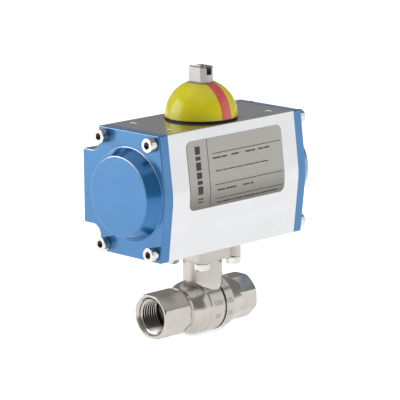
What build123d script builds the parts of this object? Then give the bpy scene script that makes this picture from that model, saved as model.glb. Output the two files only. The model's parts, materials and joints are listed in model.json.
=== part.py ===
from build123d import *

import os
from math import acos, atan2, cos, degrees, hypot, pi, sin, sqrt, tan

# Spring-return rack-and-pinion rotary actuator mounted on a threaded ball valve.
#
# Frame, in millimetres: +X runs along the housing and the pipe, +Y points to the air-port side and
# +Z is up. The origin is on the shaft axis, in the housing's flat top face. The rest position is the
# closed valve: both pistons are together and the springs are at their longest.

os.makedirs("parts", exist_ok=True)

# ---------------------------------------------------------------- driving dimensions
# Housing: an extrusion along X
CASE_HALF = 51.1
CASE_HEIGHT = 73.1
FRONT_EDGE_Y = -24.9
FRONT_MID_Y = -29.3
BACK_Y = 25.0
RIB_Y = 38.5
RIB_HALF = 21.75
MID_Z = -CASE_HEIGHT / 2
BORE_R = 24.5

# End caps
CAP_T = 6.5
BOSS_BASE_R = 27.0
BOSS_FACE_R = 23.1
BOSS_FACE_X = 66.0
CAVITY_R = 17.5
CAVITY_FLOOR_X = 62.0
SPIGOT_R = 24.4
SPIGOT_L = 3.5
CAP_SCREW_Y = 19.9
CAP_SCREW_Z = 31.35

# M5 fasteners
M5_R = 2.5
M5_SHANK_R = 2.45
M5_CORE_R = 2.1
M5_CLEAR_R = 2.75
TAPPED_DEPTH = 8.0
COUNTERSINK_R = 2.55
VALVE_BOLT_DEPTH = 10.0
CAP_SCREW_DEPTH = 14.0

# Rack and pinion
MODULE = 1.25
TEETH = 16
PITCH_R = MODULE * TEETH / 2
PRESSURE = 20 * pi / 180
BACKLASH = 0.12
PINION_TIP_R = PITCH_R + MODULE
PINION_ROOT_R = 8.6
RACK_ADDENDUM = 0.8 * MODULE
RACK_DEDENDUM = 1.24 * MODULE
PINION_Z = (MID_Z - 9.5, MID_Z + 9.5)

# Pistons, given for the right-hand one at rest
PISTON_R = 24.2
HEAD_X = (22.5, 30.5)
LEG_END_X = -21.5
LEG_HALF_Z = 9.0
LEG_BACK_R = 23.3
RACK_GAPS = range(-5, 2)

# Return springs
SPRING_R = 15.6
SPRING_WIRE_R = 1.2
SPRING_TURNS = 5.5

# Shaft and position indicator
SHAFT_END_R = 7.0
SHAFT_TOP_Z = 30.0
FLAT_X = 5.2
M6_CORE_R = 2.5
END_HOLE_DEPTH = 16.0
SLOT_W = 4.0
SLOT_DEPTH = 4.5
UPPER_JOURNAL_R = 9.0
LOWER_JOURNAL_R = 11.0
BUSH_T = 0.94
DOME_R = 21.2
DOME_BASE_Z = 1.2
DOME_TOP_Z = 20.6
DOME_T = 1.8
STRIPE_W = 7.4
STRIPE_DEPTH = 0.6

# Valve
FLANGE_HALF = 17.2
FLANGE_T = 9.3
FLANGE_BOLT = 12.73
NECK_R = 11.6
PIPE_Z = -111.2
VALVE_LEFT_X = -42.4
VALVE_RIGHT_X = 32.4
OCTAGON_AF = 25.4
THREAD_R = 10.48
THREAD_L = 15.0
PORT_R = 7.25
BALL_R = 11.3
CHAMBER_R = 11.9
STEM_R = 5.94
STEM_BORE_R = 6.0
SQUARE = 8.9

# Label
LABEL_X = (-37.5, 39.0)
LABEL_Z = (-45.5, -6.2)
LABEL_T = 0.3

FLANGE_TOP_Z = -CASE_HEIGHT
FLANGE_BOTTOM_Z = FLANGE_TOP_Z - FLANGE_T
ALONG_X = (0, 90, 0)
SIDES = {"left": -1, "right": 1}


# ---------------------------------------------------------------- shared shapes
def cross_section(x, shift_y=0.0):
    """The sketch plane across the housing at x: local X is the part's Y, local Y is its Z."""
    return Plane(origin=(x, shift_y, 0), x_dir=(0, 1, 0), z_dir=(1, 0, 0))


def case_outline():
    """Outline of housing and caps: bulged front, flat top and bottom, air rib at the rear."""
    rib_top = MID_Z + RIB_HALF
    rib_bottom = MID_Z - RIB_HALF
    corners = [
        (FRONT_EDGE_Y, 0),
        (FRONT_MID_Y, MID_Z),
        (FRONT_EDGE_Y, -CASE_HEIGHT),
        (BACK_Y, -CASE_HEIGHT),
        (BACK_Y, rib_bottom),
        (RIB_Y, rib_bottom),
        (RIB_Y, rib_top),
        (BACK_Y, rib_top),
        (BACK_Y, 0),
    ]
    radii = [0.8, 40, 0.8, 0.8, 6, 1, 1, 6, 0.8]
    with BuildSketch() as outline:
        with BuildLine():
            FilletPolyline(*corners, radius=radii, close=True)
        make_face()
    return outline.sketch


def ring(x, outer_r, inner_r, length, centre_z=MID_Z, mode=Mode.ADD):
    """A ring about the X direction, from x towards +X."""
    with BuildSketch(cross_section(x)) as disc:
        with Locations((0, centre_z)):
            Circle(outer_r)
            if inner_r:
                Circle(inner_r, mode=Mode.SUBTRACT)
    extrude(disc.sketch, amount=length, mode=mode)


def rod(z_low, z_high, radius, centre=(0, 0), mode=Mode.ADD):
    """A round bar or hole about the Z direction."""
    with BuildSketch(Plane.XY.offset(z_low)) as disc:
        with Locations(centre):
            Circle(radius)
    extrude(disc.sketch, amount=z_high - z_low, mode=mode)


def collar(z_low, z_high, outer_r, inner_r, mode=Mode.ADD):
    """A ring about the shaft axis."""
    with BuildSketch(Plane.XY.offset(z_low)) as annulus:
        Circle(outer_r)
        Circle(inner_r, mode=Mode.SUBTRACT)
    extrude(annulus.sketch, amount=z_high - z_low, mode=mode)


def save(part, name):
    part.label = name
    export_step(part, f"parts/{name}.step")


def cap_screw_points():
    return [(y, MID_Z + z) for y in (-CAP_SCREW_Y, CAP_SCREW_Y) for z in (-CAP_SCREW_Z, CAP_SCREW_Z)]


def flange_bolt_points():
    return [(x, y) for x in (-FLANGE_BOLT, FLANGE_BOLT) for y in (-FLANGE_BOLT, FLANGE_BOLT)]


# ---------------------------------------------------------------- housing
AIR_PORT_X = 12.0
AIR_PORT_R = 4.28
AIR_PORT_DEPTH = 10.0
CHANNEL_Y = 31.0
CHANNEL_Z = MID_Z - 17.5
CHANNEL_R = 2.0
LINK_R = 1.5
UPPER_BORE_R = UPPER_JOURNAL_R + 0.05 + BUSH_T
LOWER_BORE_R = LOWER_JOURNAL_R + 0.05 + BUSH_T

with BuildPart() as housing:
    with BuildSketch(cross_section(-CASE_HALF)):
        add(case_outline())
    extrude(amount=2 * CASE_HALF)
    # Piston bore and shaft bores
    ring(-CASE_HALF, BORE_R, 0, 2 * CASE_HALF, mode=Mode.SUBTRACT)
    rod(MID_Z, 0, UPPER_BORE_R, mode=Mode.SUBTRACT)
    rod(-CASE_HEIGHT, MID_Z, LOWER_BORE_R, mode=Mode.SUBTRACT)
    # Accessory pattern in the top face
    with Locations(Plane.XY):
        with GridLocations(80, 30, 2, 2):
            CounterSinkHole(M5_CORE_R, COUNTERSINK_R, depth=TAPPED_DEPTH, counter_sink_angle=90)
    # Valve bolts in the bottom face
    for centre in flange_bolt_points():
        rod(-CASE_HEIGHT, -CASE_HEIGHT + VALVE_BOLT_DEPTH, M5_R, centre, mode=Mode.SUBTRACT)
    # Cap screws in both ends
    screw_hole_x = CASE_HALF - CAP_SCREW_DEPTH / 2
    for y, z in cap_screw_points():
        with Locations((screw_hole_x, y, z), (-screw_hole_x, y, z)):
            Cylinder(M5_R, CAP_SCREW_DEPTH, rotation=ALONG_X, mode=Mode.SUBTRACT)
    # Air connection in the rib: four M5 holes and two ports
    rib_face = Plane(origin=(0, RIB_Y, MID_Z), x_dir=(-1, 0, 0), z_dir=(0, 1, 0))
    with Locations(rib_face):
        with GridLocations(32, 24, 2, 2):
            CounterSinkHole(M5_CORE_R, COUNTERSINK_R, depth=TAPPED_DEPTH, counter_sink_angle=90)
        with GridLocations(2 * AIR_PORT_X, 0, 2, 1):
            Hole(AIR_PORT_R, depth=AIR_PORT_DEPTH)
    # One port opens between the pistons
    with Locations((-AIR_PORT_X, (BORE_R + RIB_Y) / 2 - 4, MID_Z)):
        Cylinder(CHANNEL_R, RIB_Y - BORE_R, rotation=(90, 0, 0), mode=Mode.SUBTRACT)
    # The other reaches both end chambers by a long channel
    with BuildSketch(cross_section(-CASE_HALF)):
        with Locations((CHANNEL_Y, CHANNEL_Z)):
            Circle(CHANNEL_R)
    extrude(amount=2 * CASE_HALF, mode=Mode.SUBTRACT)
    rod(CHANNEL_Z, MID_Z, LINK_R, (AIR_PORT_X, CHANNEL_Y), mode=Mode.SUBTRACT)
save(housing.part, "housing")

# ---------------------------------------------------------------- end caps
SEAL_GROOVE_X = CASE_HALF - 2.5
SEAL_GROOVE_W = 1.7
SEAL_GROOVE_R = 22.8

with BuildPart() as right_end_cap:
    with BuildSketch(cross_section(CASE_HALF)):
        add(case_outline())
    extrude(amount=CAP_T)
    fillet(right_end_cap.faces().sort_by(Axis.X)[-1].edges(), radius=0.7)
    # Conical boss
    with BuildSketch(Plane.XZ):
        with BuildLine():
            Polyline(
                (CASE_HALF + CAP_T - 1, MID_Z),
                (CASE_HALF + CAP_T - 1, MID_Z + BOSS_BASE_R),
                (CASE_HALF + CAP_T, MID_Z + BOSS_BASE_R),
                (BOSS_FACE_X, MID_Z + BOSS_FACE_R),
                (BOSS_FACE_X, MID_Z),
                close=True,
            )
        make_face()
    revolve(axis=Axis((0, 0, MID_Z), (1, 0, 0)))
    fillet(right_end_cap.faces().sort_by(Axis.X)[-1].edges(), radius=0.9)
    rims = right_end_cap.edges().filter_by(GeomType.CIRCLE)
    fillet([rim for rim in rims if abs(rim.radius - BOSS_BASE_R) < 0.01], radius=0.8)
    # Spigot with seal groove, and the spring's cavity
    ring(CASE_HALF - SPIGOT_L, SPIGOT_R, 0, SPIGOT_L)
    ring(CASE_HALF - SPIGOT_L, CAVITY_R, 0, CAVITY_FLOOR_X - CASE_HALF + SPIGOT_L, mode=Mode.SUBTRACT)
    ring(SEAL_GROOVE_X, SPIGOT_R + 0.1, SEAL_GROOVE_R, SEAL_GROOVE_W, mode=Mode.SUBTRACT)
    # Air channel from the rib to the cavity
    slot_length = hypot(CHANNEL_Y, CHANNEL_Z - MID_Z) - CAVITY_R + 2
    slot_angle = degrees(atan2(CHANNEL_Z - MID_Z, CHANNEL_Y))
    with BuildSketch(cross_section(CASE_HALF)):
        with Locations((CHANNEL_Y, CHANNEL_Z)):
            Circle(CHANNEL_R)
            Rectangle(slot_length, 3, rotation=slot_angle, align=(Align.MAX, Align.CENTER))
    extrude(amount=3, mode=Mode.SUBTRACT)
    for y, z in cap_screw_points():
        with Locations((CASE_HALF + CAP_T / 2, y, z)):
            Cylinder(M5_CLEAR_R, CAP_T + 1, rotation=ALONG_X, mode=Mode.SUBTRACT)
save(right_end_cap.part, "right_end_cap")

with BuildPart() as left_end_cap:
    mirror(right_end_cap.part, about=Plane.YZ)
save(left_end_cap.part, "left_end_cap")

# ---------------------------------------------------------------- cap screws
HEAD_R = 4.25
HEAD_L = 5.0
HEX_SOCKET_AF = 4.0
SCREW_L = 18.0


def socket_screw(side, y, z):
    """M5 socket head screw along X, with its head against the cap's outer face."""
    seat = CASE_HALF + CAP_T
    shank = Plane(origin=(side * (seat - SCREW_L), y, z), z_dir=(side, 0, 0))
    with BuildPart() as screw:
        with BuildSketch(shank):
            Circle(M5_SHANK_R)
        extrude(amount=SCREW_L)
        with BuildSketch(shank.offset(SCREW_L)):
            Circle(HEAD_R)
        extrude(amount=HEAD_L)
        rim = screw.faces().sort_by(Axis(shank.origin, shank.z_dir))[-1].edges()
        fillet(rim, radius=0.5)
        with BuildSketch(shank.offset(SCREW_L + HEAD_L)):
            RegularPolygon(HEX_SOCKET_AF / 2, 6, major_radius=False)
        extrude(amount=-2.5, mode=Mode.SUBTRACT)
    return screw.part


for side_name, side in SIDES.items():
    with BuildPart() as cap_screws:
        for y, z in cap_screw_points():
            add(socket_screw(side, y, z))
    save(cap_screws.part, f"{side_name}_cap_screws")

# ---------------------------------------------------------------- O-rings about the X direction


def o_ring_x(x, major_r, minor_r):
    with Locations((x, 0, MID_Z)):
        Torus(major_r, minor_r, rotation=ALONG_X)


for side_name, side in SIDES.items():
    with BuildPart() as cap_seal:
        o_ring_x(side * (SEAL_GROOVE_X + SEAL_GROOVE_W / 2), SEAL_GROOVE_R + 0.8, 0.78)
    save(cap_seal.part, f"{side_name}_cap_seal")

# ---------------------------------------------------------------- label
with BuildPart() as rating_label:
    label_length = LABEL_X[1] - LABEL_X[0]
    with BuildSketch(cross_section(LABEL_X[0], -LABEL_T)):
        add(case_outline())
    extrude(amount=label_length)
    with BuildSketch(cross_section(LABEL_X[0])):
        add(case_outline())
    extrude(amount=label_length, mode=Mode.SUBTRACT)
    with BuildSketch(Plane.XZ.offset(20)):
        with Locations((sum(LABEL_X) / 2, sum(LABEL_Z) / 2)):
            RectangleRounded(label_length, LABEL_Z[1] - LABEL_Z[0], 3.5)
    extrude(amount=15, mode=Mode.INTERSECT)
save(rating_label.part, "rating_label")

# ---------------------------------------------------------------- pistons
SPRING_X = (HEAD_X[1] + SPRING_WIRE_R, CAVITY_FLOOR_X - SPRING_WIRE_R)
PISTON_GROOVE_X = 26.0
PISTON_GROOVE_W = 2.2
PISTON_GROOVE_R = 22.45
PAD_X = (-20.0, -1.0)
PAD_Z = (4.2, 8.6)
PAD_SEAT_R = 22.3
PAD_R = 24.4


def rack_gap(x):
    """One gap between rack teeth, in plan: narrow at the root, wide past the tooth tips."""
    tooth_quarter = pi * MODULE / 4 + BACKLASH / 2
    root_y = -PITCH_R - RACK_DEDENDUM
    tip_y = -PITCH_R + RACK_ADDENDUM + 0.2
    root_half = tooth_quarter - RACK_DEDENDUM * tan(PRESSURE)
    tip_half = tooth_quarter + (RACK_ADDENDUM + 0.2) * tan(PRESSURE)
    with BuildSketch() as gap:
        with BuildLine():
            Polyline(
                (x - root_half, root_y),
                (x + root_half, root_y),
                (x + tip_half, tip_y),
                (x - tip_half, tip_y),
                close=True,
            )
        make_face()
    return gap.sketch


def guide_strips():
    """Two curved strips along the back of the leg, above and below the air port."""
    pad_length = PAD_X[1] - PAD_X[0]
    with BuildPart() as strips:
        ring(PAD_X[0], PAD_R, PAD_SEAT_R, pad_length)
        with Locations((sum(PAD_X) / 2, -PAD_R, MID_Z)):
            Box(pad_length, PAD_R, 2 * PAD_Z[1], mode=Mode.INTERSECT)
        with Locations((sum(PAD_X) / 2, -PAD_R, MID_Z)):
            Box(pad_length, PAD_R, 2 * PAD_Z[0], mode=Mode.SUBTRACT)
    return strips.part


with BuildPart() as right_piston:
    # Leg with the rack, cut from a round bar
    ring(LEG_END_X, LEG_BACK_R, 0, HEAD_X[0] - LEG_END_X + 1)
    leg_y = -PITCH_R + RACK_ADDENDUM
    with Locations(((LEG_END_X + HEAD_X[0] + 1) / 2, leg_y, MID_Z)):
        Box(60, 30, 2 * LEG_HALF_Z, align=(Align.CENTER, Align.MAX, Align.CENTER), mode=Mode.INTERSECT)
    with BuildSketch(Plane.XY.offset(MID_Z - LEG_HALF_Z)):
        for gap in RACK_GAPS:
            add(rack_gap(gap * pi * MODULE))
    extrude(amount=2 * LEG_HALF_Z, mode=Mode.SUBTRACT)
    # Seats of the guide pads in the leg's back
    add(guide_strips(), mode=Mode.SUBTRACT)
    # Head
    ring(HEAD_X[0], PISTON_R, 0, HEAD_X[1] - HEAD_X[0])
    ring(PISTON_GROOVE_X, PISTON_R + 0.1, PISTON_GROOVE_R, PISTON_GROOVE_W, mode=Mode.SUBTRACT)
    ring(HEAD_X[1] - 2.5, 12.5, 0, 2.6, mode=Mode.SUBTRACT)

with BuildPart() as right_guide_pads:
    add(guide_strips())

with BuildPart() as right_piston_seal:
    o_ring_x(PISTON_GROOVE_X + PISTON_GROOVE_W / 2, PISTON_GROOVE_R + 0.97, 0.95)

with BuildPart() as right_spring:
    with BuildLine():
        coil_length = SPRING_X[1] - SPRING_X[0]
        coil = Helix(
            pitch=coil_length / SPRING_TURNS,
            height=coil_length,
            radius=SPRING_R,
            center=(SPRING_X[0], 0, MID_Z),
            direction=(1, 0, 0),
        )
    with BuildSketch(Plane(origin=coil @ 0, z_dir=coil % 0)):
        Circle(SPRING_WIRE_R)
    sweep(path=coil, is_frenet=True)

for name, right_part in {
    "piston": right_piston,
    "guide_pads": right_guide_pads,
    "piston_seal": right_piston_seal,
    "spring": right_spring,
}.items():
    save(right_part.part, f"right_{name}")
    with BuildPart() as left_part:
        add(right_part.part.rotate(Axis.Z, 180))
    save(left_part.part, f"left_{name}")

# ---------------------------------------------------------------- pinion shaft
JOURNAL_TOP_Z = -0.6
UPPER_SHOULDER_Z = -15.2
LOWER_SHOULDER_Z = -61.0
UPPER_GROOVE_Z = (-5.6, -3.8)
LOWER_GROOVE_Z = (-70.6, -68.8)
CIRCLIP_Z = (1.05, 2.15)
CIRCLIP_GROOVE_R = 6.5
SHAFT_BOTTOM_Z = -CASE_HEIGHT + 0.3
SOCKET_TOP_Z = -62.5


def involute(angle):
    return tan(angle) - angle


def pinion_tooth():
    """One tooth about the local X direction, with involute flanks above the base circle."""
    base_r = PITCH_R * cos(PRESSURE)
    radii = [PINION_ROOT_R - 0.3, base_r, 9.8, 10.5, PINION_TIP_R]
    flank = []
    for r in radii:
        pressure = acos(min(1, base_r / r))
        half = pi / 2 / TEETH - BACKLASH / 2 / PITCH_R + involute(PRESSURE) - involute(pressure)
        flank.append((r * cos(half), r * sin(half)))
    with BuildSketch() as tooth:
        with BuildLine():
            Polyline(*flank, *[(x, -y) for x, y in reversed(flank)], close=True)
        make_face()
    return tooth.sketch


with BuildPart() as pinion_shaft:
    # Pinion
    with BuildSketch(Plane.XY.offset(PINION_Z[0])):
        Circle(PINION_ROOT_R)
        with PolarLocations(0, TEETH):
            add(pinion_tooth())
    extrude(amount=PINION_Z[1] - PINION_Z[0])
    # Journals and plain stretches
    rod(PINION_Z[1], UPPER_SHOULDER_Z, LOWER_JOURNAL_R)
    rod(UPPER_SHOULDER_Z, JOURNAL_TOP_Z, UPPER_JOURNAL_R)
    rod(LOWER_SHOULDER_Z, PINION_Z[0], PINION_ROOT_R)
    rod(SHAFT_BOTTOM_Z, LOWER_SHOULDER_Z, LOWER_JOURNAL_R)
    rod(JOURNAL_TOP_Z, SHAFT_TOP_Z, SHAFT_END_R)
    fillet(pinion_shaft.faces().sort_by(Axis.Z)[-1].edges(), radius=0.5)
    # Two flats and the slot of the shaft end
    with Locations((0, 0, (DOME_TOP_Z + SHAFT_TOP_Z) / 2 + 1)):
        with Locations((FLAT_X, 0, 0), (-FLAT_X - 5, 0, 0)):
            Box(5, 20, SHAFT_TOP_Z - DOME_TOP_Z + 2, align=(Align.MIN, Align.CENTER, Align.CENTER),
                mode=Mode.SUBTRACT)
    with Locations((0, 0, SHAFT_TOP_Z)):
        Box(SLOT_W, 20, 2 * SLOT_DEPTH, mode=Mode.SUBTRACT)
    # M6 hole in the end
    rod(SHAFT_TOP_Z - END_HOLE_DEPTH, SHAFT_TOP_Z, M6_CORE_R, mode=Mode.SUBTRACT)
    # Grooves of the O-rings and of the circlip
    for (low, high), outer_r, inner_r in (
        (UPPER_GROOVE_Z, UPPER_JOURNAL_R + 0.1, 8.28),
        (LOWER_GROOVE_Z, LOWER_JOURNAL_R + 0.1, 10.28),
        (CIRCLIP_Z, SHAFT_END_R + 0.1, CIRCLIP_GROOVE_R),
    ):
        collar(low, high, outer_r, inner_r, mode=Mode.SUBTRACT)
    # Square socket for the valve stem
    with BuildSketch(Plane.XY.offset(SHAFT_BOTTOM_Z)):
        Rectangle(SQUARE + 0.2, SQUARE + 0.2)
    extrude(amount=SOCKET_TOP_Z - SHAFT_BOTTOM_Z, mode=Mode.SUBTRACT)
save(pinion_shaft.part, "pinion_shaft")

for name, z, major_r in (
    ("upper_shaft_o_ring", sum(UPPER_GROOVE_Z) / 2, 9.12),
    ("lower_shaft_o_ring", sum(LOWER_GROOVE_Z) / 2, 11.12),
):
    with BuildPart() as o_ring:
        with Locations((0, 0, z)):
            Torus(major_r, 0.82)
    save(o_ring.part, name)

for name, low, high, outer_r, inner_r in (
    ("upper_bush", -11.4, -7.0, UPPER_BORE_R, UPPER_JOURNAL_R + 0.05),
    ("lower_bush", -66.5, -62.0, LOWER_BORE_R, LOWER_JOURNAL_R + 0.05),
    ("thrust_washer", 0.0, 1.0, 12.0, 7.2),
    ("indicator_seal_ring", 0.0, 0.9, 20.7, 17.6),
):
    with BuildPart() as turned:
        collar(low, high, outer_r, inner_r)
    save(turned.part, name)

with BuildPart() as shaft_circlip:
    collar(*CIRCLIP_Z, 8.8, CIRCLIP_GROOVE_R)
    with Locations((8, 0, sum(CIRCLIP_Z) / 2)):
        Box(6, 5, 2, mode=Mode.SUBTRACT)
save(shaft_circlip.part, "shaft_circlip")

# ---------------------------------------------------------------- position indicator
HUB_R = 9.2
HUB_LOW_Z = 9.0


def dome_radius_at(z, sphere_r):
    return sqrt(sphere_r**2 - (z - DOME_BASE_Z) ** 2)


def stripe_band(outer_r, width):
    """A curved band over the dome from front to rear, from the stripe's recess outwards."""
    with BuildPart() as band:
        with Locations((0, 0, DOME_BASE_Z)):
            Sphere(outer_r)
            Sphere(DOME_R - STRIPE_DEPTH, mode=Mode.SUBTRACT)
            Box(width, 60, 60, align=(Align.CENTER, Align.CENTER, Align.MIN), mode=Mode.INTERSECT)
    return band.part


with BuildPart() as position_indicator:
    inner_r = DOME_R - DOME_T
    arc_mid = (DOME_R * sin(pi / 5), DOME_BASE_Z + DOME_R * cos(pi / 5))
    inner_mid = (inner_r * sin(pi / 5), DOME_BASE_Z + inner_r * cos(pi / 5))
    hub_top_z = DOME_BASE_Z + sqrt(inner_r**2 - HUB_R**2)
    with BuildSketch(Plane.XZ):
        with BuildLine():
            ThreePointArc((DOME_R, DOME_BASE_Z), arc_mid, (dome_radius_at(DOME_TOP_Z, DOME_R), DOME_TOP_Z))
            Polyline(
                (dome_radius_at(DOME_TOP_Z, DOME_R), DOME_TOP_Z),
                (SHAFT_END_R, DOME_TOP_Z),
                (SHAFT_END_R, HUB_LOW_Z),
                (HUB_R, HUB_LOW_Z),
                (HUB_R, hub_top_z),
            )
            ThreePointArc((HUB_R, hub_top_z), inner_mid, (inner_r, DOME_BASE_Z))
            Line((inner_r, DOME_BASE_Z), (DOME_R, DOME_BASE_Z))
        make_face()
    revolve(axis=Axis.Z)
    # Recess of the stripe, front and rear
    add(stripe_band(DOME_R + 1, STRIPE_W), mode=Mode.SUBTRACT)
save(position_indicator.part, "position_indicator")

with BuildPart() as indicator_stripe:
    add(stripe_band(DOME_R, STRIPE_W - 0.1))
    with Locations((0, 0, DOME_TOP_Z)):
        Box(60, 60, 60, align=(Align.CENTER, Align.CENTER, Align.MIN), mode=Mode.SUBTRACT)
    rod(0, SHAFT_TOP_Z, SHAFT_END_R, mode=Mode.SUBTRACT)
save(indicator_stripe.part, "indicator_stripe")

# ---------------------------------------------------------------- valve body and end adapter
SPLIT_X = -19.0
ADAPTER_NECK_X = -22.0
END_CHAMFER = 0.8
SEAT_X = 11.0
GLAND_R = 9.0
GLAND_BOTTOM_Z = FLANGE_TOP_Z - 13.9
STEM_COLLAR_R = 7.2
COLLAR_TOP_Z = -96.4


def octagon(x_low, x_high):
    """Eight flats with rounded edges, turned to a chamfer at both ends."""
    corner_r = OCTAGON_AF / 2 / cos(pi / 8)
    length = x_high - x_low
    with BuildPart() as flats:
        with BuildSketch(cross_section(x_low)):
            with Locations((0, PIPE_Z)):
                RegularPolygon(OCTAGON_AF / 2, 8, major_radius=False, rotation=180 / 8)
        extrude(amount=length)
        fillet(flats.edges().filter_by(Axis.X), radius=0.5)
    with BuildPart() as turned_blank:
        with Locations(((x_low + x_high) / 2, 0, PIPE_Z)):
            Cylinder(corner_r, length, rotation=ALONG_X)
        chamfer(turned_blank.edges().filter_by(GeomType.CIRCLE), length=END_CHAMFER)
    with BuildPart() as turned_flats:
        add(flats.part)
        add(turned_blank.part, mode=Mode.INTERSECT)
    return turned_flats.part


def pipe_ring(x_low, x_high, outer_r, inner_r=0, mode=Mode.ADD):
    ring(x_low, outer_r, inner_r, x_high - x_low, centre_z=PIPE_Z, mode=mode)


def pipe_end_chamfer(x, direction):
    """The conical lead-in of a threaded end."""
    with Locations(Location((x, 0, PIPE_Z), (0, 90 * direction, 0))):
        Cone(THREAD_R - 0.6, THREAD_R + 1.2, 1.8, align=(Align.CENTER, Align.CENTER, Align.MAX),
             mode=Mode.SUBTRACT)


with BuildPart() as valve_flange:
    with BuildSketch(Plane.XY.offset(FLANGE_BOTTOM_Z)):
        RectangleRounded(2 * FLANGE_HALF, 2 * FLANGE_HALF, 4.5)
        with PolarLocations(FLANGE_HALF, 4):
            Trapezoid(22.5, 2.3, 60, rotation=90, align=(Align.CENTER, Align.MIN), mode=Mode.SUBTRACT)
    extrude(amount=FLANGE_T)
    fillet(valve_flange.faces().sort_by(Axis.Z)[0].edges(), radius=0.6)

with BuildPart() as valve_body:
    # Round body with a rounded nose, a flat band, a narrow groove and a tapered ring
    with BuildSketch(Plane.XZ):
        with BuildLine():
            Line((SPLIT_X, PIPE_Z), (SPLIT_X, PIPE_Z + 12.4))
            ThreePointArc((SPLIT_X, PIPE_Z + 12.4), (-15.8, PIPE_Z + 14.6), (-8.0, PIPE_Z + 15.4))
            Polyline(
                (-8.0, PIPE_Z + 15.4),
                (-7.5, PIPE_Z + 15.75),
                (3.1, PIPE_Z + 15.75),
                (3.1, PIPE_Z + 15.0),
                (4.3, PIPE_Z + 15.0),
                (4.3, PIPE_Z + 16.0),
                (10.5, PIPE_Z + 16.0),
                (22.6, PIPE_Z + 12.5),
                (22.6, PIPE_Z),
                (SPLIT_X, PIPE_Z),
            )
        make_face()
    revolve(axis=Axis((0, 0, PIPE_Z), (1, 0, 0)))
    add(octagon(SEAT_X, VALVE_RIGHT_X))
    # Neck and flange
    rod(PIPE_Z + 5, FLANGE_BOTTOM_Z, NECK_R)
    add(valve_flange.part)
    for centre in flange_bolt_points():
        rod(FLANGE_BOTTOM_Z, FLANGE_TOP_Z, M5_CLEAR_R, centre, mode=Mode.SUBTRACT)
    # Ball chamber, port and threaded end
    pipe_ring(SPLIT_X, SEAT_X, CHAMBER_R, mode=Mode.SUBTRACT)
    pipe_ring(SEAT_X, VALVE_RIGHT_X - THREAD_L, PORT_R, mode=Mode.SUBTRACT)
    pipe_ring(VALVE_RIGHT_X - THREAD_L, VALVE_RIGHT_X, THREAD_R, mode=Mode.SUBTRACT)
    pipe_end_chamfer(VALVE_RIGHT_X, 1)
    # Stem bore, seat of the stem's collar and gland
    rod(PIPE_Z, FLANGE_TOP_Z, STEM_BORE_R, mode=Mode.SUBTRACT)
    rod(PIPE_Z, COLLAR_TOP_Z, STEM_COLLAR_R + 0.2, mode=Mode.SUBTRACT)
    rod(GLAND_BOTTOM_Z, FLANGE_TOP_Z, GLAND_R, mode=Mode.SUBTRACT)
save(valve_body.part, "valve_body")

with BuildPart() as valve_end_adapter:
    add(octagon(VALVE_LEFT_X, ADAPTER_NECK_X))
    pipe_ring(ADAPTER_NECK_X, SPLIT_X - 0.6, 13.2)
    pipe_ring(SPLIT_X - 0.6, SPLIT_X, 12.3)
    pipe_ring(SPLIT_X, -SEAT_X, CHAMBER_R - 0.05)
    pipe_ring(VALVE_LEFT_X, VALVE_LEFT_X + THREAD_L, THREAD_R, mode=Mode.SUBTRACT)
    pipe_ring(VALVE_LEFT_X + THREAD_L, -SEAT_X, PORT_R, mode=Mode.SUBTRACT)
    pipe_end_chamfer(VALVE_LEFT_X, -1)
save(valve_end_adapter.part, "valve_end_adapter")

# ---------------------------------------------------------------- ball, seats and stem
SEAT_INNER_X = 7.6

with BuildPart() as ball:
    with Locations((0, 0, PIPE_Z)):
        Sphere(BALL_R)
        Cylinder(PORT_R, 30, rotation=(90, 0, 0), mode=Mode.SUBTRACT)
    with Locations((0, 0, PIPE_Z + BALL_R)):
        Box(26, 4.2, 6.4, mode=Mode.SUBTRACT)
save(ball.part, "ball")

with BuildPart() as right_seat:
    seat_bore_r = PORT_R + 0.2
    sealing_r = BALL_R + 0.08
    with BuildSketch(Plane.XZ.shift_origin((0, 0, PIPE_Z))):
        with BuildLine():
            Polyline(
                (sqrt(sealing_r**2 - seat_bore_r**2), seat_bore_r),
                (SEAT_X, seat_bore_r),
                (SEAT_X, CHAMBER_R - 0.1),
                (SEAT_INNER_X, CHAMBER_R - 0.1),
                (SEAT_INNER_X, sqrt(sealing_r**2 - SEAT_INNER_X**2)),
                close=True,
            )
        make_face()
    revolve(axis=Axis((0, 0, PIPE_Z), (1, 0, 0)))
save(right_seat.part, "right_seat")

with BuildPart() as left_seat:
    mirror(right_seat.part, about=Plane.YZ)
save(left_seat.part, "left_seat")

TONGUE_LOW_Z = PIPE_Z + BALL_R - 2.9
STEM_LOW_Z = PIPE_Z + BALL_R + 0.3
SQUARE_LOW_Z = FLANGE_TOP_Z - 1.4
SQUARE_TOP_Z = SOCKET_TOP_Z - 1.0

with BuildPart() as valve_stem:
    # Tongue, round stem with its collar, and square end
    with BuildSketch(Plane.XY.offset(TONGUE_LOW_Z)):
        Circle(STEM_R - 0.6)
        Rectangle(20, 4.0, mode=Mode.INTERSECT)
    extrude(amount=STEM_LOW_Z - TONGUE_LOW_Z)
    rod(STEM_LOW_Z, SQUARE_LOW_Z, STEM_R)
    rod(STEM_LOW_Z + 1, COLLAR_TOP_Z - 0.1, STEM_COLLAR_R)
    with BuildSketch(Plane.XY.offset(SQUARE_LOW_Z)):
        Circle(STEM_R)
        Rectangle(SQUARE, SQUARE, mode=Mode.INTERSECT)
    extrude(amount=SQUARE_TOP_Z - SQUARE_LOW_Z)
save(valve_stem.part, "valve_stem")

with BuildPart() as stem_packing:
    collar(GLAND_BOTTOM_Z, GLAND_BOTTOM_Z + 5, GLAND_R - 0.05, STEM_BORE_R)
save(stem_packing.part, "stem_packing")

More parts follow.
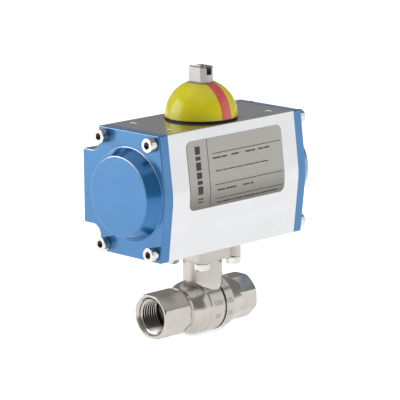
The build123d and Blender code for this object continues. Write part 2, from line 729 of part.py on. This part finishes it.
with BuildPart() as gland_nut:
    collar(GLAND_BOTTOM_Z + 5, FLANGE_TOP_Z - 3, GLAND_R - 0.05, STEM_BORE_R + 0.1)
    with Locations((0, 0, FLANGE_TOP_Z - 3)):
        Box(20, 3, 3, mode=Mode.SUBTRACT)
save(gland_nut.part, "gland_nut")

# ---------------------------------------------------------------- flange bolts and washers
WASHER_R = 4.4
WASHER_T = 0.5
BOLT_HEAD_AF = 8.0
BOLT_HEAD_H = 3.5

with BuildPart() as flange_washers:
    for centre in flange_bolt_points():
        rod(FLANGE_BOTTOM_Z - WASHER_T, FLANGE_BOTTOM_Z, WASHER_R, centre)
    for centre in flange_bolt_points():
        rod(FLANGE_BOTTOM_Z - WASHER_T, FLANGE_BOTTOM_Z, M5_CLEAR_R, centre, mode=Mode.SUBTRACT)
save(flange_washers.part, "flange_washers")

with BuildPart() as hex_screw:
    with BuildSketch(Plane.XY.offset(-BOLT_HEAD_H)):
        RegularPolygon(BOLT_HEAD_AF / 2, 6, major_radius=False)
    extrude(amount=BOLT_HEAD_H)
    # Rounded corners of the hexagon at its outer end
    with Locations((0, 0, -BOLT_HEAD_H)):
        Cone(BOLT_HEAD_AF / 2, BOLT_HEAD_AF / 2 + 8, 8 / tan(pi / 6),
             align=(Align.CENTER, Align.CENTER, Align.MIN), mode=Mode.INTERSECT)
    rod(0, WASHER_T + FLANGE_T + 8, M5_SHANK_R)

with BuildPart() as flange_bolts:
    with Locations(*[(x, y, FLANGE_BOTTOM_Z - WASHER_T) for x, y in flange_bolt_points()]):
        add(hex_screw.part)
save(flange_bolts.part, "flange_bolts")
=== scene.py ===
import json
import math

import bmesh
import bpy
from mathutils import Matrix, Vector
from mathutils.bvhtree import BVHTree


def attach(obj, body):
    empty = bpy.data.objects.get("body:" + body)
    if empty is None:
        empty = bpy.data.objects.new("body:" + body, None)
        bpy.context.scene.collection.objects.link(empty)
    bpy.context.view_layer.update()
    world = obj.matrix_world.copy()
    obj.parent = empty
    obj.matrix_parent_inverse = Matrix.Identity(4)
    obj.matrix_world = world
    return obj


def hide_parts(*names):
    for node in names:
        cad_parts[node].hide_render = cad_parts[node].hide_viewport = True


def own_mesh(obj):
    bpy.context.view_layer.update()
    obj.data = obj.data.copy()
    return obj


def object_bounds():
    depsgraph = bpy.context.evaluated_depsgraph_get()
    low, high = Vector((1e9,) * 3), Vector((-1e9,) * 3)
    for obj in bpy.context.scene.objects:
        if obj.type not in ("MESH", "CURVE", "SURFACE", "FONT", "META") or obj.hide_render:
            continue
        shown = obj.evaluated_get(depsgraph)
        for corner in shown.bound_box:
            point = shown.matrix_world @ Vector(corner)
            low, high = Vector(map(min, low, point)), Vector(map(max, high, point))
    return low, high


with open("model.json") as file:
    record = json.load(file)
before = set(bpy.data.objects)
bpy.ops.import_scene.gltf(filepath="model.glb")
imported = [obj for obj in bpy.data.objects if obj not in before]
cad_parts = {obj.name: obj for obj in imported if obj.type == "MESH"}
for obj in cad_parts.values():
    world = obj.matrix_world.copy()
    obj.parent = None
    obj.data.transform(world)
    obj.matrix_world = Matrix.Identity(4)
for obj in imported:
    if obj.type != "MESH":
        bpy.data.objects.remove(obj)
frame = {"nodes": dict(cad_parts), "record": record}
cad_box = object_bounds()


# ---------------------------------------------------------------- materials
def linear(r, g, b):
    """A colour given in 0 to 255 steps as the eye sees it, turned to what a shader needs."""
    def channel(v):
        v /= 255
        return v / 12.92 if v <= 0.04045 else ((v + 0.055) / 1.055) ** 2.4
    return (channel(r), channel(g), channel(b), 1)


class Finish:
    """A procedural material: colour, roughness and relief from noise in the part's own frame."""

    def __init__(self, name, colour, **sockets):
        self.material = bpy.data.materials.new(name)
        self.material.use_nodes = True
        self.tree = self.material.node_tree
        self.shader = self.tree.nodes["Principled BSDF"]
        self.shader.inputs["Base Color"].default_value = colour
        for socket, value in sockets.items():
            self.shader.inputs[socket.replace("_", " ")].default_value = value
        self.place = self.add("ShaderNodeTexCoord").outputs["Object"]
        self.height = None

    def soften(self, radius):
        """Shades sharp edges as if they were rounded by that radius, in metres."""
        node = self.add("ShaderNodeBevel", samples=4)
        node.inputs["Radius"].default_value = radius
        self.height = node.outputs["Normal"]
        self.link(self.height, self.shader.inputs["Normal"])

    def add(self, kind, **settings):
        node = self.tree.nodes.new(kind)
        for key, value in settings.items():
            setattr(node, key, value)
        return node

    def link(self, source, target):
        self.tree.links.new(source, target)

    def grain(self, scale, detail=3.0, stretch=(1, 1, 1)):
        """A noise field with `scale` cells to the metre, drawn out along an axis by stretch."""
        mapping = self.add("ShaderNodeMapping")
        mapping.inputs["Scale"].default_value = stretch
        self.link(self.place, mapping.inputs["Vector"])
        field = self.add("ShaderNodeTexNoise")
        field.inputs["Scale"].default_value = scale
        field.inputs["Detail"].default_value = detail
        self.link(mapping.outputs["Vector"], field.inputs["Vector"])
        return field.outputs["Fac"]

    def spread(self, field, low, high, start=0.3, end=0.7):
        """Maps a field to the range low to high."""
        node = self.add("ShaderNodeMapRange")
        node.inputs["From Min"].default_value = start
        node.inputs["From Max"].default_value = end
        node.inputs["To Min"].default_value = low
        node.inputs["To Max"].default_value = high
        self.link(field, node.inputs["Value"])
        return node.outputs["Result"]

    def axis_value(self, axis):
        """The place along X, Y or Z in the part's frame, in metres."""
        node = self.add("ShaderNodeSeparateXYZ")
        self.link(self.place, node.inputs["Vector"])
        return node.outputs[axis]

    def blend(self, field, first, second):
        """A colour between two, by the field."""
        node = self.add("ShaderNodeMix", data_type="RGBA")
        self.link(field, node.inputs["Factor"])
        node.inputs["A"].default_value = first
        node.inputs["B"].default_value = second
        return node.outputs["Result"]

    def mix_colour(self, field, first, second):
        """Mixes two colour outputs by the field."""
        node = self.add("ShaderNodeMix", data_type="RGBA")
        for socket, source in (("Factor", field), ("A", first), ("B", second)):
            self.link(source, node.inputs[socket])
        return node.outputs["Result"]

    def mix_value(self, field, first, second):
        """Mixes two value outputs by the field."""
        node = self.add("ShaderNodeMix", data_type="FLOAT")
        for socket, source in (("Factor", field), ("A", first), ("B", second)):
            self.link(source, node.inputs[socket])
        return node.outputs["Result"]

    def product(self, *fields):
        """Multiplies fields, so the result is 1 only where all of them are."""
        result = fields[0]
        for field in fields[1:]:
            node = self.add("ShaderNodeMath", operation="MULTIPLY")
            self.link(result, node.inputs[0])
            self.link(field, node.inputs[1])
            result = node.outputs["Value"]
        return result

    def facing(self, axis):
        """The normal's part along an axis: its size for X and Y, and with its sign for Z."""
        node = self.add("ShaderNodeSeparateXYZ")
        self.link(self.add("ShaderNodeNewGeometry").outputs["Normal"], node.inputs["Vector"])
        if axis == "Z":
            return node.outputs["Z"]
        size = self.add("ShaderNodeMath", operation="ABSOLUTE")
        self.link(node.outputs[axis], size.inputs[0])
        return size.outputs["Value"]

    def colour(self, source, painted_shade_colour=None, reach=0.003, limits=(0.35, 0.85)):
        """Sets the base colour. With a shade colour given, holes and gaps turn to it as painted
        shade, darkest where a place is most enclosed.

        The limits are how open a place is where it has all the shade colour, and where none.
        """
        if painted_shade_colour:
            depth = self.add("ShaderNodeAmbientOcclusion", samples=8)
            depth.inputs["Distance"].default_value = reach
            node = self.add("ShaderNodeMix", data_type="RGBA")
            self.link(self.spread(depth.outputs["AO"], 0, 1, *limits), node.inputs["Factor"])
            node.inputs["A"].default_value = painted_shade_colour
            self.link(source, node.inputs["B"])
            source = node.outputs["Result"]
        self.link(source, self.shader.inputs["Base Color"])

    def roughness(self, source):
        self.link(source, self.shader.inputs["Roughness"])

    def relief(self, field, depth, strength=1.0):
        """Adds bump of that depth in metres on what is there already."""
        node = self.add("ShaderNodeBump")
        node.inputs["Strength"].default_value = strength
        node.inputs["Distance"].default_value = depth
        self.link(field, node.inputs["Height"])
        if self.height:
            self.link(self.height, node.inputs["Normal"])
        self.height = node.outputs["Normal"]
        self.link(self.height, self.shader.inputs["Normal"])


def anodised_extrusion():
    """Natural anodised aluminium: milled smooth on top, with the die's lines along X elsewhere."""
    m = Finish("anodised_extrusion", linear(205, 206, 207), Metallic=0.9, Roughness=0.3)
    m.soften(0.0004)
    lines = m.grain(900, 2, stretch=(0.02, 1, 1))
    broad = m.grain(40, 4, stretch=(0.3, 1, 1))
    tint = m.blend(m.spread(broad, 0, 1), linear(206, 207, 208), linear(215, 216, 217))
    # Painted shade: the top face is drawn darker than the sides
    shaded_top_tint = m.blend(m.spread(broad, 0, 1), linear(182, 183, 184), linear(192, 193, 194))
    on_top = m.spread(m.axis_value("Z"), 0, 1, -0.0006, -0.0002)
    # Painted highlight: the cut rims of the tapped holes on top are drawn bright
    rim_highlight_mask = m.product(
        m.spread(m.axis_value("Z"), 1, 0, -0.00005, -0.00002),
        m.spread(m.axis_value("Z"), 0, 1, -0.0007, -0.0006),
    )
    surface = m.mix_colour(on_top, tint, shaded_top_tint)
    painted_rim_highlight = m.blend(rim_highlight_mask, linear(0, 0, 0), linear(250, 250, 250))
    # Painted shade: holes and gaps turn near black
    m.colour(m.mix_colour(rim_highlight_mask, surface, painted_rim_highlight), linear(6, 6, 6), 0.005, (0.5, 0.72))
    m.roughness(m.mix_value(on_top, m.spread(lines, 0.27, 0.35), m.spread(lines, 0.1, 0.15)))
    m.relief(lines, 0.00001, 0.12)
    m.relief(m.grain(5200, 2), 0.000005, 0.15)
    return m.material


def blue_coating():
    """Glossy blue coating with a faint orange peel, with painted shade making the slopes deep blue
    and a painted highlight making the upper edges pale.
    """
    m = Finish(
        "blue_coating", linear(84, 140, 196),
        Metallic=0.5, Roughness=0.24, Coat_Weight=0.6, Coat_Roughness=0.08,
    )
    patches = m.grain(45, 3)
    flat = m.blend(m.spread(patches, 0, 1), linear(46, 112, 166), linear(52, 118, 172))
    shaded_slope_blue = m.blend(m.spread(patches, 0, 1), linear(2, 98, 158), linear(8, 104, 164))
    # Painted shade: faces turned part way from X, the boss's sloping walls, get the deeper blue
    shaded_slope_mask = m.product(
        m.spread(m.facing("X"), 0, 1, 0.3, 0.4), m.spread(m.facing("X"), 1, 0, 0.58, 0.66)
    )
    tint = m.mix_colour(shaded_slope_mask, flat, shaded_slope_blue)
    # Painted highlight: rounded edges that face upward are drawn near white
    thin = m.product(
        m.spread(m.facing("X"), 0, 1, 0.64, 0.72),
        m.spread(m.facing("X"), 1, 0, 0.94, 0.98),
        m.spread(m.facing("Z"), 0, 1, 0.1, 0.42),
        m.spread(m.axis_value("Z"), 0.4, 1, -0.0035, -0.0045),
    )
    painted_edge_highlight = m.blend(thin, linear(120, 170, 215), linear(238, 244, 250))
    m.colour(m.mix_colour(thin, tint, painted_edge_highlight))
    m.roughness(m.spread(m.grain(240, 3), 0.22, 0.27))
    m.relief(m.grain(300, 2), 0.00001, 0.06)
    m.relief(m.grain(1500, 2), 0.000003, 0.08)
    return m.material


def bright_steel(name="bright_steel"):
    """Stainless screws: bright, with fine turned lines."""
    m = Finish(name, linear(222, 219, 214), Metallic=1.0, Roughness=0.2)
    m.soften(0.0002)
    tint = m.blend(m.spread(m.grain(300, 3), 0, 1), linear(198, 195, 190), linear(214, 212, 208))
    # Painted shade: sockets, holes and the sides near the plate turn reddish brown
    m.colour(tint, linear(84, 62, 54), 0.003)
    m.roughness(m.spread(m.grain(900, 2), 0.08, 0.16))
    m.relief(m.grain(6000, 2, stretch=(1, 0.2, 1)), 0.000006, 0.2)
    return m.material


def turned_shaft():
    """Steel shaft with fine rings from the lathe."""
    m = Finish("turned_shaft", linear(206, 202, 197), Metallic=1.0, Roughness=0.26)
    m.soften(0.0003)
    rings = m.grain(2600, 2, stretch=(0.04, 0.04, 1))
    tint = m.blend(m.spread(m.grain(120, 3), 0, 1), linear(160, 157, 153), linear(166, 163, 159))
    # Painted shade: holes and gaps turn dark
    m.colour(tint, linear(30, 29, 28), 0.003)
    m.roughness(m.spread(rings, 0.2, 0.32))
    m.relief(rings, 0.000004, 0.2)
    return m.material


def nickel_plating():
    """Nickel plating: bright on the turned pipe body, satin on the cast neck and flange."""
    m = Finish("nickel_plating", linear(206, 201, 195), Metallic=1.0, Roughness=0.2)
    m.soften(0.0004)
    cast = m.spread(m.axis_value("Z"), 0, 1, -0.099, -0.094)
    tint = m.blend(m.spread(m.grain(90, 4), 0, 1), linear(184, 179, 172), linear(190, 185, 178))
    # Painted shade: holes and gaps turn dark
    m.colour(tint, linear(58, 54, 49), 0.003, (0.2, 0.6))
    turned = m.spread(m.grain(900, 2, stretch=(1, 0.2, 0.2)), 0.2, 0.23)
    satin = m.spread(m.grain(1400, 3), 0.32, 0.46)
    m.roughness(m.mix_value(cast, turned, satin))
    m.relief(m.grain(130, 2), 0.00002, 0.06)
    m.relief(m.grain(1500, 2, stretch=(1, 0.15, 0.15)), 0.000003, 0.03)
    return m.material


def yellow_plastic():
    m = Finish("yellow_plastic", linear(205, 193, 62), Roughness=0.22, Subsurface_Weight=0.1)
    m.shader.inputs["Subsurface Radius"].default_value = (0.003, 0.002, 0.0005)
    m.soften(0.0003)
    m.colour(m.blend(m.spread(m.grain(70, 3), 0, 1), linear(216, 206, 4), linear(224, 214, 10)))
    m.roughness(m.spread(m.grain(500, 3), 0.18, 0.28))
    m.relief(m.grain(900, 2), 0.00001, 0.2)
    return m.material


def red_plastic():
    m = Finish("red_plastic", linear(186, 60, 52), Roughness=0.26)
    m.colour(m.blend(m.spread(m.grain(140, 3), 0, 1), linear(212, 84, 82), linear(222, 98, 95)))
    m.roughness(m.spread(m.grain(600, 3), 0.22, 0.34))
    m.relief(m.grain(1200, 2), 0.00001, 0.2)
    return m.material


def black_rubber():
    m = Finish("black_rubber", linear(34, 34, 36), Roughness=0.6)
    m.colour(m.blend(m.spread(m.grain(200, 3), 0, 1), linear(40, 26, 22), linear(54, 38, 33)))
    m.roughness(m.spread(m.grain(700, 3), 0.5, 0.72))
    m.relief(m.grain(3000, 3), 0.00002, 0.4)
    return m.material


def white_plastic():
    m = Finish("white_plastic", linear(232, 230, 222), Roughness=0.42)
    m.colour(m.blend(m.spread(m.grain(150, 3), 0, 1), linear(226, 223, 214), linear(238, 236, 230)))
    m.roughness(m.spread(m.grain(800, 2), 0.36, 0.5))
    m.relief(m.grain(2500, 2), 0.00002, 0.3)
    return m.material


def spring_steel():
    m = Finish("spring_steel", linear(120, 120, 124), Metallic=1.0, Roughness=0.34)
    m.colour(m.blend(m.spread(m.grain(260, 4), 0, 1), linear(96, 96, 100), linear(140, 140, 144)))
    m.roughness(m.spread(m.grain(900, 3), 0.26, 0.44))
    m.relief(m.grain(3000, 3), 0.00002, 0.4)
    return m.material


def cast_aluminium():
    m = Finish("cast_aluminium", linear(190, 191, 193), Metallic=0.9, Roughness=0.42)
    m.colour(m.blend(m.spread(m.grain(180, 4), 0, 1), linear(178, 179, 181), linear(202, 203, 205)))
    m.roughness(m.spread(m.grain(900, 3), 0.34, 0.52))
    m.relief(m.grain(1400, 4), 0.00005, 0.4)
    return m.material


def label_foil():
    """Silver foil, finely brushed along X."""
    m = Finish("label_foil", linear(150, 148, 142), Metallic=0.7, Roughness=0.36)
    brushed = m.grain(1800, 2, stretch=(0.03, 1, 1))
    upper = m.blend(m.spread(brushed, 0, 1), linear(160, 158, 151), linear(168, 166, 160))
    # Painted reflection: the lower part of the label is drawn darker
    painted_dark_lower = m.blend(m.spread(brushed, 0, 1), linear(112, 109, 103), linear(120, 117, 111))
    m.colour(m.mix_colour(m.spread(m.axis_value("Z"), 0, 1, -0.044, -0.03), painted_dark_lower, upper))
    m.roughness(m.spread(brushed, 0.32, 0.4))
    m.relief(brushed, 0.000004, 0.15)
    return m.material


def printing_ink():
    """Black print on the label, a little uneven as screen printing is."""
    m = Finish("printing_ink", linear(40, 39, 38), Roughness=0.5)
    m.colour(m.blend(m.spread(m.grain(900, 3), 0, 1), linear(30, 29, 28), linear(58, 57, 55)))
    m.roughness(m.spread(m.grain(1500, 2), 0.42, 0.6))
    m.relief(m.grain(4000, 2), 0.000005, 0.3)
    return m.material


INK = printing_ink()
SLOT_MATERIALS = {
    "anodised_housing": anodised_extrusion(),
    "blue_cap": blue_coating(),
    "stainless_screw": bright_steel(),
    "black_rubber": black_rubber(),
    "silver_label": label_foil(),
    "white_plastic": white_plastic(),
    "spring_steel": spring_steel(),
    "nickel_plated_brass": nickel_plating(),
    "polished_ball": bright_steel("polished_ball"),
    "shaft_steel": turned_shaft(),
    "yellow_plastic": yellow_plastic(),
    "red_plastic": red_plastic(),
    "cast_piston": cast_aluminium(),
}


def finish_cad_nodes():
    for part in frame["record"]["subparts"]:
        node = frame["nodes"][part["node"]]
        node.data.materials.clear()
        node.data.materials.append(SLOT_MATERIALS[part["material_slot"]])


finish_cad_nodes()

# ---------------------------------------------------------------- pieces
MID_Z = -0.03655
PIPE_Z = -0.1112


def make_piece(name, mesh, slot, body="root", material=None, smooth_angle=35):
    """Turns a bmesh into a piece that rides on a body and takes the slot's material."""
    bmesh.ops.recalc_face_normals(mesh, faces=mesh.faces)
    data = bpy.data.meshes.new(name)
    mesh.to_mesh(data)
    mesh.free()
    piece = bpy.data.objects.new(name, data)
    bpy.context.scene.collection.objects.link(piece)
    data.shade_smooth()
    data.set_sharp_from_angle(angle=math.radians(smooth_angle))
    data.materials.append(material or SLOT_MATERIALS[slot])
    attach(piece, body)
    return piece


def skin_rings(mesh, rings):
    """Joins equal rings of vertices into a closed tube with end faces."""
    for first, second in zip(rings, rings[1:]):
        for i in range(len(first)):
            j = (i + 1) % len(first)
            mesh.faces.new((first[i], first[j], second[j], second[i]))
    mesh.faces.new(rings[0])
    mesh.faces.new(rings[-1])


def add_thread(mesh, mouth, inward, wall_r, crest_r, pitch, length, steps=64):
    """An internal right-hand thread: a ridge along a helix, faded out at both ends."""
    along = Vector(inward).normalized()
    side = along.orthogonal().normalized()
    up = along.cross(side)
    count = round(length / pitch * steps)
    rings = []
    for i in range(count + 1):
        angle = 2 * math.pi * i / steps
        radial = side * math.cos(angle) + up * math.sin(angle)
        centre = Vector(mouth) + along * (pitch * i / steps)
        fade = max(0.05, min(1, 2 * i / steps, 2 * (count - i) / steps))
        tip_r = wall_r - (wall_r - crest_r) * fade
        base_r = wall_r + 0.00004
        profile = [(base_r, -0.44), (tip_r, -0.08), (tip_r, 0.08), (base_r, 0.44)]
        rings.append([mesh.verts.new(centre + radial * r + along * a * pitch) for r, a in profile])
    skin_rings(mesh, rings)


PIPE_THREAD = dict(wall_r=0.01048, crest_r=0.00932, pitch=0.001814, length=0.0132)
PORT_THREAD = dict(wall_r=0.00428, crest_r=0.00402, pitch=0.000907, length=0.0085, steps=48)
M5_THREAD = dict(wall_r=0.0021, crest_r=0.00195, pitch=0.0008, length=0.0064, steps=32)
M6_THREAD = dict(wall_r=0.0025, crest_r=0.0023, pitch=0.001, length=0.01, steps=36)
LEFT_MOUTH_X, RIGHT_MOUTH_X = -0.0413, 0.0313
ACCESSORY_X, ACCESSORY_Y, ACCESSORY_MOUTH_Z = 0.04, 0.015, -0.0006
SOLENOID_X, SOLENOID_Z, SOLENOID_MOUTH_Y = 0.016, 0.012, 0.0379
PORT_X, PORT_MOUTH_Y = 0.012, 0.0382
SHAFT_HOLE_MOUTH_Z = 0.0252


def add_pipe_threads():
    for name, mouth_x, inward in (("left", LEFT_MOUTH_X, 1), ("right", RIGHT_MOUTH_X, -1)):
        mesh = bmesh.new()
        add_thread(mesh, (mouth_x, 0, PIPE_Z), (inward, 0, 0), **PIPE_THREAD)
        make_piece(f"{name}_pipe_thread", mesh, "nickel_plated_brass", smooth_angle=20)


def add_tapped_holes():
    """Threads of the M5 accessory and solenoid holes, the air ports and the shaft's M6 hole."""
    mesh = bmesh.new()
    for x in (-ACCESSORY_X, ACCESSORY_X):
        for y in (-ACCESSORY_Y, ACCESSORY_Y):
            add_thread(mesh, (x, y, ACCESSORY_MOUTH_Z), (0, 0, -1), **M5_THREAD)
    for x in (-SOLENOID_X, SOLENOID_X):
        for z in (-SOLENOID_Z, SOLENOID_Z):
            add_thread(mesh, (x, SOLENOID_MOUTH_Y, MID_Z + z), (0, -1, 0), **M5_THREAD)
    for x in (-PORT_X, PORT_X):
        add_thread(mesh, (x, PORT_MOUTH_Y, MID_Z), (0, -1, 0), **PORT_THREAD)
    make_piece("housing_threads", mesh, "anodised_housing", smooth_angle=20)
    mesh = bmesh.new()
    add_thread(mesh, (0, 0, SHAFT_HOLE_MOUTH_Z), (0, 0, -1), **M6_THREAD)
    make_piece("shaft_end_thread", mesh, "shaft_steel", body="drive", smooth_angle=20)


SPRING_R, SPRING_WIRE_R, SPRING_TURNS = 0.0156, 0.0012, 5.5
SPRING_X = (0.0317, 0.0608)


def add_springs():
    """The return springs, drawn at one fixed length; the real ones shorten as the pistons move out.
    """
    steps, round_steps = 36, 10
    start, end = SPRING_X
    for name, side in (("left", -1), ("right", 1)):
        mesh = bmesh.new()
        rings = []
        count = round(SPRING_TURNS * steps)
        for i in range(count + 1):
            angle = 2 * math.pi * i / steps
            radial = Vector((0, math.cos(angle), math.sin(angle)))
            x = side * (start + (end - start) * i / count)
            centre = Vector((x, 0, MID_Z)) + radial * SPRING_R
            ring = []
            for k in range(round_steps):
                turn = 2 * math.pi * k / round_steps
                bulge = radial * math.cos(turn) + Vector((1, 0, 0)) * math.sin(turn)
                ring.append(mesh.verts.new(centre + bulge * SPRING_WIRE_R))
            rings.append(ring)
        skin_rings(mesh, rings)
        spring = make_piece(f"{name}_return_spring", mesh, "spring_steel")
        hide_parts(f"{name}_spring")
        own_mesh(spring)


def surface_of(node):
    data = frame["nodes"][node].data
    points = [vertex.co.copy() for vertex in data.vertices]
    return BVHTree.FromPolygons(points, [tuple(face.vertices) for face in data.polygons])


LABEL = surface_of("rating_label")
IN_FRONT_Y = -0.06
INK_T = 0.00002
PATCH_ROW = 0.0008
WORD_GAP = 0.35
RULE_HALF = 0.00022
RULE_X = (-0.018, 0.0375)
RULE_Z = (-0.0152, -0.033, -0.041)
DIVIDER_X = -0.0218
DIVIDER_Z = (-0.0452, -0.0065)
BLOCK_X = (-0.0316, -0.0276)
BLOCK_TOP_Z = -0.0095
BLOCK_GAP = 0.0011
BLOCK_HEIGHTS = (0.0046, 0.0022, 0.0046, 0.0036, 0.0022, 0.0046)
DASH_Z = ((-0.0416, -0.0408), (-0.0398, -0.039))


def add_patch(mesh, x_low, x_high, z_low, z_high):
    """A thin patch of ink that follows the label's bend."""
    rows = max(1, math.ceil((z_high - z_low) / PATCH_ROW))
    grid = {}
    for row in range(rows + 1):
        z = z_low + (z_high - z_low) * row / rows
        for column, x in enumerate((x_low, x_high)):
            hit = LABEL.ray_cast(Vector((x, IN_FRONT_Y, z)), Vector((0, 1, 0)))[0]
            for layer, lift in enumerate((INK_T, -INK_T)):
                grid[row, column, layer] = mesh.verts.new((x, hit.y - lift, z))
    rings = [
        [grid[row, 0, 0], grid[row, 1, 0], grid[row, 1, 1], grid[row, 0, 1]]
        for row in range(rows + 1)
    ]
    skin_rings(mesh, rings)


def add_word_row(mesh, x_low, x_high, z, height, words):
    """A row of plain bars of those relative lengths, in place of a line of small print."""
    total = sum(words) + WORD_GAP * (len(words) - 1)
    unit = (x_high - x_low) / total
    x = x_low
    for word in words:
        add_patch(mesh, x, x + word * unit, z - height / 2, z + height / 2)
        x += (word + WORD_GAP) * unit


def add_label_print():
    """Rules, rows of bars and a column of blocks: a generic layout with no lettering."""
    mesh = bmesh.new()
    add_patch(mesh, DIVIDER_X - RULE_HALF, DIVIDER_X + RULE_HALF, *DIVIDER_Z)
    for z in RULE_Z:
        add_patch(mesh, *RULE_X, z - RULE_HALF, z + RULE_HALF)
    for x_low, x_high, z, height, words in (
        (-0.018, -0.0065, -0.0178, 0.0009, (3, 2)),
        (-0.003, 0.003, -0.0176, 0.0009, (1,)),
        (0.0085, 0.0165, -0.0176, 0.0009, (3, 2)),
        (0.019, 0.028, -0.0176, 0.0009, (2, 2)),
        (-0.0165, 0.026, -0.0253, 0.0006, (3, 2, 4, 3, 5, 2, 4)),
        (-0.0165, -0.001, -0.0362, 0.0009, (3, 4)),
        (0.0045, 0.013, -0.0362, 0.0009, (2, 1)),
        (-0.0165, 0.0335, -0.0434, 0.0009, (2, 4, 1, 3, 5, 2, 3, 4)),
    ):
        add_word_row(mesh, x_low, x_high, z, height, words)
    # Column of blocks beside the divider
    z = BLOCK_TOP_Z
    for height in BLOCK_HEIGHTS:
        add_patch(mesh, *BLOCK_X, z - height, z)
        z -= height + BLOCK_GAP
    for dash_low, dash_high in DASH_Z:
        add_patch(mesh, *BLOCK_X, dash_low, dash_high)
    make_piece("label_print", mesh, "silver_label", material=INK)


LEFT_ROUND_R, RIGHT_ROUND_R, NECKING_R = 0.01575, 0.016, 0.0132
MARK_ROOT, MARK_LIFT = 0.0001, 0.00022
BOX_FACES = (
    (0, 1, 3, 2), (4, 5, 7, 6), (0, 1, 5, 4), (2, 3, 7, 6), (0, 2, 6, 4), (1, 3, 7, 5),
)


def add_mark(mesh, x, angle, width, height, surface_r):
    """A raised bar on a round of that radius, at an angle above the front of the pipe's axis."""
    half = height / 2 / surface_r
    corners = []
    for r in (surface_r - MARK_ROOT, surface_r + MARK_LIFT):
        for turn in (angle - half, angle + half):
            for place in (x - width / 2, x + width / 2):
                y, z = -r * math.cos(turn), PIPE_Z + r * math.sin(turn)
                corners.append(mesh.verts.new((place, y, z)))
    for face in BOX_FACES:
        mesh.faces.new([corners[i] for i in face])


def add_cast_marks():
    """Small raised bars on the valve, in place of its cast size marks."""
    mesh = bmesh.new()
    tall = dict(angle=0.22, width=0.0007, height=0.003)
    low = dict(width=0.0011, height=0.0008)
    for x in (-0.0042, -0.0026, -0.001, 0.0006):
        add_mark(mesh, x, surface_r=LEFT_ROUND_R, **tall)
    for x in (-0.0032, -0.0012):
        for angle in (-0.24, -0.34):
            add_mark(mesh, x, angle, surface_r=LEFT_ROUND_R, **low)
    for x in (0.0058, 0.0073, 0.0088):
        add_mark(mesh, x, surface_r=RIGHT_ROUND_R, **tall)
    for x in (0.0062, 0.0084):
        for angle in (-0.2, -0.3):
            add_mark(mesh, x, angle, surface_r=RIGHT_ROUND_R, **low)
    # Short strokes around the left round's edge
    for i in range(9):
        width = 0.0013 if i % 3 else 0.0007
        add_mark(mesh, -0.0209, 0.45 - 0.13 * i, width, 0.0005, NECKING_R)
    make_piece("valve_cast_marks", mesh, "nickel_plated_brass")


add_pipe_threads()
add_tapped_holes()
add_springs()
add_label_print()
add_cast_marks()

# ---------------------------------------------------------------- camera, light and floor
CAMERA_AZIMUTH = math.radians(44.52)
CAMERA_ELEVATION = math.radians(12.42)
CAMERA_ROLL = math.radians(-0.48)
CAMERA_DISTANCE = 1.4928
CAMERA_TARGET = Vector((-0.0008, 0.0008, -0.0490))
CAMERA_LENS = 231.0


def add_camera():
    back = Vector((
        -math.sin(CAMERA_AZIMUTH) * math.cos(CAMERA_ELEVATION),
        -math.cos(CAMERA_AZIMUTH) * math.cos(CAMERA_ELEVATION),
        math.sin(CAMERA_ELEVATION),
    ))
    data = bpy.data.cameras.new("camera")
    data.lens = CAMERA_LENS
    camera = bpy.data.objects.new("camera", data)
    turn = back.to_track_quat("Z", "Y").to_matrix().to_4x4() @ Matrix.Rotation(CAMERA_ROLL, 4, "Z")
    camera.matrix_world = Matrix.Translation(CAMERA_TARGET + back * CAMERA_DISTANCE) @ turn
    bpy.context.scene.collection.objects.link(camera)
    bpy.context.scene.camera = camera


def add_area_light(name, place, target, size, power):
    data = bpy.data.lights.new(name, "AREA")
    data.shape = "RECTANGLE"
    data.size, data.size_y = size
    data.energy = power
    light = bpy.data.objects.new(name, data)
    light.location = place
    light.visible_camera = False
    light.rotation_euler = (Vector(target) - Vector(place)).to_track_quat("-Z", "Y").to_euler()
    bpy.context.scene.collection.objects.link(light)


FLOOR_SIZE = 8
FLOOR_GAP = 0.0002


def add_floor():
    lowest = cad_box[0][2]
    bpy.ops.mesh.primitive_plane_add(size=FLOOR_SIZE, location=(0, 0, lowest - FLOOR_GAP))
    floor = bpy.context.active_object
    floor.name = "floor"
    paper = Finish("floor_paper", linear(250, 250, 250), Roughness=0.9, Emission_Strength=0.72)
    paper.shader.inputs["Emission Color"].default_value = (1, 1, 1, 1)
    paper.colour(paper.blend(paper.grain(3, 2), linear(249, 249, 249), linear(251, 251, 251)))
    floor.data.materials.append(paper.material)


def set_world():
    world = bpy.data.worlds.new("studio")
    world.use_nodes = True
    sky = world.node_tree.nodes["Background"]
    sky.inputs["Color"].default_value = (0.9, 0.9, 0.9, 1)
    sky.inputs["Strength"].default_value = 0.32
    bpy.context.scene.world = world
    bpy.context.scene.view_settings.view_transform = "Standard"


CENTRE = (0, 0, -0.06)
add_camera()
add_floor()
set_world()
add_area_light("right_wall", (0.9, -0.85, 0.3), CENTRE, (1.1, 0.8), 2.2)
add_area_light("left_wall", (-0.85, 0.9, 0.35), CENTRE, (1.0, 0.8), 8.2)
add_area_light("ceiling", (0, 0, 2.2), CENTRE, (3.2, 3.2), 22)
